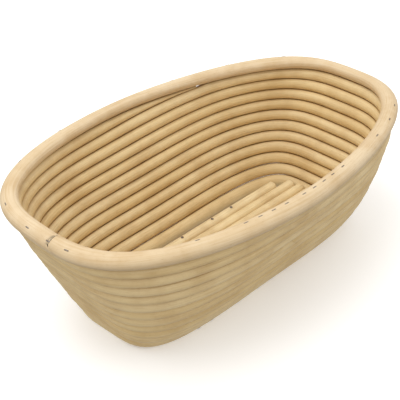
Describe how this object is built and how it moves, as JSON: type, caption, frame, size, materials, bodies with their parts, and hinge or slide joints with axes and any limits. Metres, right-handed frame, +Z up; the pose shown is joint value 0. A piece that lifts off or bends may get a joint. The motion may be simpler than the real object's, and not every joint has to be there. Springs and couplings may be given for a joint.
{
  "type": "banneton basket",
  "caption": "Oblong bread proofing basket coiled from round rattan cane, with a thick rim cane and a floor of straight canes.",
  "frame": {"origin": "on the table, under the middle of the basket", "axes": "+X along the basket towards its slightly narrower end, +Y across it, +Z up"},
  "size_m": [0.2581, 0.1602, 0.0906],
  "materials": {
    "rattan_rim": "peeled pale rattan, satin",
    "rattan_wall": "round rattan cane, satin, tan",
    "rattan_floor": "round rattan cane, satin, pale yellow",
    "slat_wood": "raw planed wood",
    "steel_wire": "drawn steel wire, dull"
  },
  "bodies": {
    "root": {"cross_slat_1": "slat_wood", "cross_slat_2": "slat_wood", "cross_slat_3": "slat_wood", "cross_slat_4": "slat_wood", "floor_cane_1": "rattan_floor", "floor_cane_2": "rattan_floor", "floor_cane_3": "rattan_floor", "floor_cane_4": "rattan_floor", "floor_cane_5": "rattan_floor", "floor_cane_6": "rattan_floor", "floor_cane_7": "rattan_floor", "floor_nail_1": "steel_wire", "floor_nail_2": "steel_wire", "floor_nail_3": "steel_wire", "floor_nail_4": "steel_wire", "floor_nail_5": "steel_wire", "floor_nail_6": "steel_wire", "floor_nail_7": "steel_wire", "floor_nail_8": "steel_wire", "foot_staple_01": "steel_wire", "foot_staple_02": "steel_wire", "foot_staple_03": "steel_wire", "foot_staple_04": "steel_wire", "foot_staple_05": "steel_wire", "foot_staple_06": "steel_wire", "foot_staple_07": "steel_wire", "foot_staple_08": "steel_wire", "foot_staple_09": "steel_wire", "foot_staple_10": "steel_wire", "foot_staple_11": "steel_wire", "foot_staple_12": "steel_wire", "lower_wall_cane": "rattan_wall", "rim_cane": "rattan_rim", "rim_staple_01": "steel_wire", "rim_staple_02": "steel_wire", "rim_staple_03": "steel_wire", "rim_staple_04": "steel_wire", "rim_staple_05": "steel_wire", "rim_staple_06": "steel_wire", "rim_staple_07": "steel_wire", "rim_staple_08": "steel_wire", "rim_staple_09": "steel_wire", "rim_staple_10": "steel_wire", "rim_staple_11": "steel_wire", "rim_staple_12": "steel_wire", "rim_staple_13": "steel_wire", "rim_staple_14": "steel_wire", "rim_staple_15": "steel_wire", "rim_staple_16": "steel_wire", "rim_staple_17": "steel_wire", "rim_staple_18": "steel_wire", "rim_staple_19": "steel_wire", "rim_staple_20": "steel_wire", "rim_staple_21": "steel_wire", "rim_staple_22": "steel_wire", "rim_staple_23": "steel_wire", "rim_staple_24": "steel_wire", "upper_wall_cane": "rattan_wall"}
  },
  "joints": []
}
